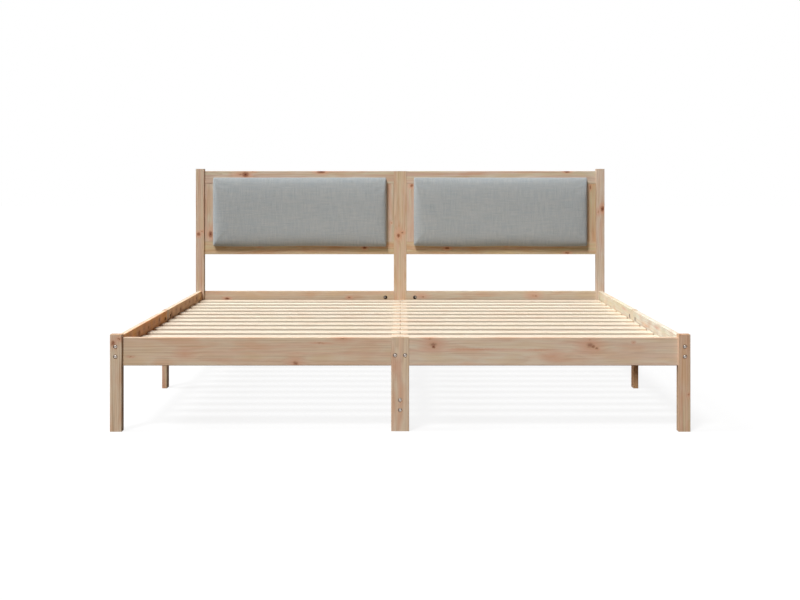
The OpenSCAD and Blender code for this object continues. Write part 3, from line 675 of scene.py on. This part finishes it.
PAIR_GAP = 0.032  # between the two bolts of a pair
LOW_PAIR = 0.067  # the lower bolt of a centre leg's foot, above the floor
CORNER_BOLT, LEG_BOLT = 0.091, 0.052  # lengths
corner_places, leg_places = [], []
for end, outward_y in (("foot", -1), ("head", 1)):
    rail_low, rail_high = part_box(f"{end}_rail_left")
    rail_y, rail_z = (rail_low.y + rail_high.y) / 2, (rail_low.z + rail_high.z) / 2
    for side, outward_x in (("left", -1), ("right", 1)):
        post_low, post_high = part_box(f"{end}_post_{side}")
        side_low, side_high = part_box(f"side_rail_{side}_{end}")
        face_x = post_high.x if side == "right" else post_low.x
        face_y = post_high.y if end == "head" else post_low.y
        rail_x = (side_low.x + side_high.x) / 2
        for step in (-0.5, 0.5):
            corner_places.append(((rail_x, face_y, rail_z + step * PAIR_GAP), (0, outward_y, 0)))
        heights = [rail_z]
        if end == "head":
            for board in ("top", "bottom"):
                board_low, board_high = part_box(f"headboard_{board}_rail_{side}")
                heights.append((board_low.z + board_high.z) / 2)
        corner_places += [((face_x, rail_y, z), (outward_x, 0, 0)) for z in heights]
    leg_low, leg_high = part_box("foot_centre_leg" if end == "foot" else "head_centre_post")
    face_y = leg_low.y if end == "foot" else leg_high.y
    beam_low, beam_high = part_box("centre_beam_" + end)
    beam_z = (beam_low.z + beam_high.z) / 2
    leg_places += [((step * PAIR_GAP, face_y, beam_z), (0, outward_y, 0)) for step in (-0.5, 0.5)]
    leg_places += [((0, face_y, LOW_PAIR + step * PAIR_GAP), (0, outward_y, 0)) for step in (0, 1)]
for node_name, places, length in (
    ("corner_bolts", corner_places, CORNER_BOLT), ("leg_bolts", leg_places, LEG_BOLT),
):
    set_of_bolts = bolts("steel_" + node_name, places, length)
    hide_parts(node_name)
    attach(set_of_bolts, "root")


# Cushions
# Foam on the plywood board, under a grey linen-look cloth that is pulled round the rim and turned to
# the back. The face is crowned, the sides draw in between the corners, and the rim waves a little.
THREAD = 0.0011  # spacing of the threads, about half as coarse again as the real cloth's so that it shows

# A plain weave of thick and thin grey threads, dry and dull, and a little paler where it turns away
linen, tree, out = new_material("grey_linen_cloth")
cloth_uv = node(tree, "UVMap", {"uv_map": "cloth"})
loose = node(tree, "TexNoise", {}, {"Vector": cloth_uv, "Scale": 140.0, "Detail": 1.0})
counted = node(tree, "VectorMath", {"operation": "SCALE"}, {0: cloth_uv, "Scale": 1 / THREAD})
threads = node(tree, "SeparateXYZ", {}, {
    0: node(tree, "VectorMath", {"operation": "MULTIPLY_ADD"}, {
        0: loose.outputs["Color"], 1: (0.35, 0.35, 0), 2: counted,
    }),
})
warp, weft = (
    node(tree, "Math", {"operation": "SINE"}, {
        0: node(tree, "Math", {"operation": "MULTIPLY"}, {0: threads.outputs[axis], 1: math.pi}),
    })
    for axis in "XY"
)
over = node(tree, "Math", {"operation": "MULTIPLY"}, {0: warp, 1: weft})
on_top = node(tree, "Math", {"operation": "GREATER_THAN"}, {0: over, 1: 0.0})
height = node(tree, "Mix", {"data_type": "FLOAT"}, {
    0: on_top,
    1: node(tree, "Math", {"operation": "ABSOLUTE"}, {0: weft}),
    2: node(tree, "Math", {"operation": "ABSOLUTE"}, {0: warp}),
})
# Slubs are single threads spun thicker or thinner. Runs are bands of several, drawn wide enough to show
# across a room. Each is a noise drawn out along its threads.
uneven = {}
for kind, along_x, along_z, start in (
    ("weft_slub", 0.06, THREAD, 0.0), ("warp_slub", THREAD, 0.06, 7.0),
    ("weft_run", 0.09, 0.005, 3.0), ("warp_run", 0.005, 0.07, 11.0),
):
    uneven[kind] = node(tree, "TexNoise", {}, {
        "Vector": node(tree, "Mapping", {}, {
            "Vector": cloth_uv, "Location": (start, start, 0), "Scale": (1 / along_x, 1 / along_z, 1),
        }),
        "Scale": 1.0, "Detail": 2.0,
    }).outputs["Fac"]
slub = node(tree, "Mix", {"data_type": "FLOAT"}, {0: on_top, 1: uneven["weft_slub"], 2: uneven["warp_slub"]})
yarn = node(tree, "ValToRGB", {"stops": [(0.3, "#a5adb0"), (0.5, "#bbc1c6"), (0.72, "#cbd0d2")]}, {0: slub})
# Painted shade: the yarn darkens where its height falls away between the threads
yarn = node(tree, "Mix", TINT, {
    0: 0.55,
    1: yarn,
    2: node(tree, "ValToRGB", {"stops": [(0.0, 0.45), (0.5, 0.9), (1.0, 1.0)]}, {0: height}),
})
for kind, thin, thick in (("weft_run", "#f0f3f4", "#fdfbf8"), ("warp_run", "#f3f4f5", "#fffefb")):
    tone = node(tree, "ValToRGB", {"stops": [(0.34, thin), (0.62, thick)]}, {0: uneven[kind]})
    yarn = node(tree, "Mix", TINT, {0: 1.0, 1: yarn, 2: tone})
surface = node(tree, "BsdfPrincipled", {}, {
    "Base Color": yarn,
    "Roughness": 0.88,
    "IOR": 1.45,
    "Specular IOR Level": 0.3,
    "Sheen Weight": 0.5,
    "Sheen Roughness": 0.5,
    "Normal": node(tree, "Bump", {}, {"Height": height, "Strength": 0.5, "Distance": 0.0003}),
})
tree.links.new(surface.outputs[0], out.inputs["Surface"])


def outline(half_x, half_z, corner, across=56, up=22, bend=8):
    """Points round a rounded rectangle from the right side's lower end. Each straight side is cut into
    equal steps and each quarter circle of the corner's radius into equal angles."""
    rings = []
    for quarter, steps in enumerate((up, across, up, across)):
        turn = quarter * math.pi / 2
        signs = np.array([(1, 1), (-1, 1), (-1, -1), (1, -1)][quarter])
        middle = signs * (half_x - corner, half_z - corner)
        length = 2 * ((half_z, half_x)[quarter % 2] - corner)
        outwards = np.array([math.cos(turn), math.sin(turn)])
        onwards = np.array([-math.sin(turn), math.cos(turn)])
        along = (np.arange(steps) / steps - 1)[:, None] * length
        rings.append(middle + outwards * corner + onwards * along)
        angle = turn + np.arange(bend)[:, None] / bend * math.pi / 2
        rings.append(middle + corner * np.concatenate([np.cos(angle), np.sin(angle)], 1))
    return np.concatenate(rings)


SHARP = 0.0008  # the least radius that a corner keeps


def carried(profile, half_x, half_z, corner, closed=False, hurry=0.0, lean=(0.0, 0.0), rim=0.003):
    """A profile of (inset, depth) pairs carried round a rounded rectangle. Each ring is the outline moved
    in by the inset. Past the rim, the short sides leave out the share hurry of the inset, so that they
    rise sooner, and a ring moves across and up by the shares lean of it, so that it rises later on the
    sides that it leans from. An open profile is closed with one point at each end."""
    rings = []
    for inset, depth in profile:
        past = max(inset - rim, 0)
        ring = outline(half_x - inset + hurry * past, half_z - inset, max(corner - inset, SHARP))
        rings.append(np.insert(ring + np.array(lean) * past, 1, depth, axis=1))
    count = len(rings[0])
    points = np.concatenate(rings)
    k = np.arange(count)
    following = (k + 1) % count
    band = np.arange(len(profile) if closed else len(profile) - 1)[:, None]
    row, row_after = band * count, (band + 1) % len(profile) * count
    quads = np.stack([row + k, row + following, row_after + following, row_after + k], 2)
    faces = quads.reshape(-1, 4).tolist()
    if not closed:
        last, ends = (len(profile) - 1) * count, len(points)
        points = np.concatenate([points, [rings[0].mean(0), rings[-1].mean(0)]])
        faces += np.stack([following, k, np.full(count, ends)], 1).tolist()
        faces += np.stack([last + k, last + following, np.full(count, ends + 1)], 1).tolist()
    return points, faces


def coordinates(mesh):
    """The mesh's points as an array."""
    points = np.zeros(len(mesh.vertices) * 3)
    mesh.vertices.foreach_get("co", points)
    return points.reshape(-1, 3)


def face_corners(mesh):
    """The place of the point at each corner of each face in turn."""
    places = np.zeros(len(mesh.loops), int)
    mesh.loops.foreach_get("vertex_index", places)
    return places


def inflated(pad, most, stapled=0.006, steps=20):
    """Cloth simulation of the cover: air presses the remeshed skin out, while the back and the stapled
    part of the rim beside it stay where they are. The foam is thin and the cloth tight, so the pressure
    is low, and a point's way is eased towards most, its limit, by the hyperbolic tangent."""
    mesh = pad.data
    start = coordinates(mesh)
    pinned = pad.vertex_groups.new(name="pinned")
    pinned.add(np.flatnonzero(start[:, 1] > start[:, 1].max() - stapled).tolist(), 1.0, "REPLACE")
    cloth = pad.modifiers.new("cloth", "CLOTH")
    cloth.settings.quality = 6
    cloth.settings.mass = 0.35
    cloth.settings.tension_stiffness = 22
    cloth.settings.compression_stiffness = 22
    cloth.settings.shear_stiffness = 9
    cloth.settings.bending_stiffness = 0.6
    cloth.settings.vertex_group_mass = "pinned"
    cloth.settings.use_pressure = True
    cloth.settings.uniform_pressure_force = 0.35
    cloth.settings.effector_weights.gravity = 0.0
    cloth.collision_settings.use_self_collision = False
    cloth.point_cache.frame_start, cloth.point_cache.frame_end = 1, steps
    for step in range(1, steps + 1):
        bpy.context.scene.frame_set(step)
    settled = pad.evaluated_get(bpy.context.evaluated_depsgraph_get())
    moved = coordinates(settled.data) - start
    pad.modifiers.remove(cloth)
    bpy.context.scene.frame_set(1)
    far = np.maximum(np.linalg.norm(moved, axis=1), 1e-9)
    mesh.vertices.foreach_set("co", (start + moved * (most / far * np.tanh(far / most))[:, None]).ravel())
    mesh.update()


CUSHION_PROFILE = [  # inset from the rim and height above the board, from the back to the crown
    (0.120, 0.0), (0.060, 0.0), (0.020, 0.0), (0.006, 0.0), (0.0028, 0.0006), (0.0012, 0.0020),
    (0.0004, 0.0038), (0.0004, 0.0052), (0.0009, 0.0070), (0.0018, 0.0088), (0.0034, 0.0108),
    (0.0055, 0.0127), (0.0090, 0.0149), (0.0135, 0.0174), (0.0200, 0.0201), (0.0270, 0.0222),
    (0.0360, 0.0241), (0.0450, 0.0254), (0.0650, 0.0269), (0.0900, 0.0276), (0.1200, 0.0278),
]
WRAP_PROFILE = [  # the cloth's turn round the board, from the pad's rim to the headboard, inside and back
    (0.0016, -0.0040), (0.0018, 0.0), (0.0020, 0.0055), (0.0026, 0.0080), (0.0035, 0.0087), (0.0044, 0.0080),
    (0.0046, 0.0055), (0.0046, 0.0), (0.0044, -0.0030), (0.0030, -0.0050),
]
HEM_PROFILE = [  # the turned-in hem on the board's back, from the edge of the window that shows it
    (0.0005, 0.0091), (0.0005, 0.0097), (0.0016, 0.0099), (0.0110, 0.0098), (0.0124, 0.0095),
    (0.0126, 0.0091),
]
PAD_CORNER, WRAP_CORNER = 0.007, 0.006  # radius of the pad's corners, and of the cloth's round the board
PAD_SPARE = (0.0025, 0.001)  # how much further out the pad starts at its sides, which the cloth draws in
PAD_GAP = 0.0003  # between the pad's back and the board
HURRY, LEAN = 0.72, (0.12, -0.4)
RIM_WAVE = 0.002  # how far the lower rim strays from a straight line
VOXEL, MOST_SWELL = 0.005, 0.005
TURN_START, TURN = 0.030, 0.025  # how far in from the rim the cloth starts to turn, and over what width
for side, wave in (("left", 0.56), ("right", 0.43)):  # wave is the length of the rim's waves
    low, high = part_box("cushion_" + side)
    board_low, board_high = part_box("cushion_board_" + side)
    middle = (low + high) / 2
    half_x, half_z = (high.x - low.x) / 2, (high.z - low.z) / 2
    board_front = board_low.y
    points, faces = carried(
        [(inset, -rise) for inset, rise in CUSHION_PROFILE],
        half_x + PAD_SPARE[0], half_z + PAD_SPARE[1], PAD_CORNER, hurry=HURRY, lean=LEAN,
    )
    # The lower rim isn't quite straight: the cloth draws it in and lets it out along its length
    lowness = np.clip(-points[:, 2] / half_z, 0, 1) ** 5
    points[:, 2] += RIM_WAVE * lowness * np.cos(math.tau * points[:, 0] / wave - wave)
    points += (middle.x, board_front - PAD_GAP, middle.z)
    pad = mesh_object("padding_" + side, points, faces, linen)
    remesh = pad.modifiers.new("remesh", "REMESH")
    remesh.mode = "VOXEL"
    remesh.voxel_size = VOXEL
    skin = bpy.data.meshes.new_from_object(pad.evaluated_get(bpy.context.evaluated_depsgraph_get()))
    bpy.data.objects.remove(pad)
    skin.name = "cushion_skin_" + side
    blown = bpy.data.objects.new("cushion_skin_" + side, skin)
    bpy.context.scene.collection.objects.link(blown)
    inflated(blown, MOST_SWELL)
    points = coordinates(skin)
    faces = face_corners(skin).reshape(-1, 4).tolist()  # the remeshed skin is all quads
    bpy.data.objects.remove(blown)
    wrap, wrap_faces = carried(WRAP_PROFILE, half_x, half_z, WRAP_CORNER, closed=True)
    faces += (np.array(wrap_faces) + len(points)).tolist()
    points = np.concatenate([points, wrap + (middle.x, board_front, middle.z)])
    # The hem is turned in on the board's back, where the headboard's frame leaves it in view
    left_stile, right_stile = ("outer", "inner") if side == "left" else ("inner", "outer")
    window_low = Vector((
        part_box(f"headboard_{left_stile}_stile_{side}")[1].x, board_front,
        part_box("headboard_bottom_rail_" + side)[1].z,
    ))
    window_high = Vector((
        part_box(f"headboard_{right_stile}_stile_{side}")[0].x, board_front,
        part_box("headboard_top_rail_" + side)[0].z,
    ))
    half_window = (window_high - window_low) / 2
    hem, hem_faces = carried(HEM_PROFILE, half_window.x, half_window.z, SHARP, closed=True)
    faces += (np.array(hem_faces) + len(points)).tolist()
    points = np.concatenate([points, hem + np.array((window_low + window_high) / 2)])
    cover = mesh_object("cushion_cover_" + side, points, faces, linen)
    skin = cover.data
    # The cloth's own coordinates are lengths over the surface: across the face, and on round the rim
    rim = points - np.array(middle)
    depth = points[:, 1] - points[:, 1].min()
    round_x = np.clip((np.abs(rim[:, 0]) - half_x + TURN_START) / TURN, 0, 1)
    round_z = np.clip((np.abs(rim[:, 2]) - half_z + TURN_START) / TURN, 0, 1)
    spread = np.stack([
        points[:, 0] + np.sign(rim[:, 0]) * round_x * depth,
        points[:, 2] + np.sign(rim[:, 2]) * round_z * depth,
    ], 1)
    skin.uv_layers.new(name="cloth").data.foreach_set("uv", spread[face_corners(skin)].ravel())
    smoother = cover.modifiers.new("smoother", "SUBSURF")
    smoother.levels = smoother.render_levels = 1
    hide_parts("cushion_" + side)
    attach(cover, "root")
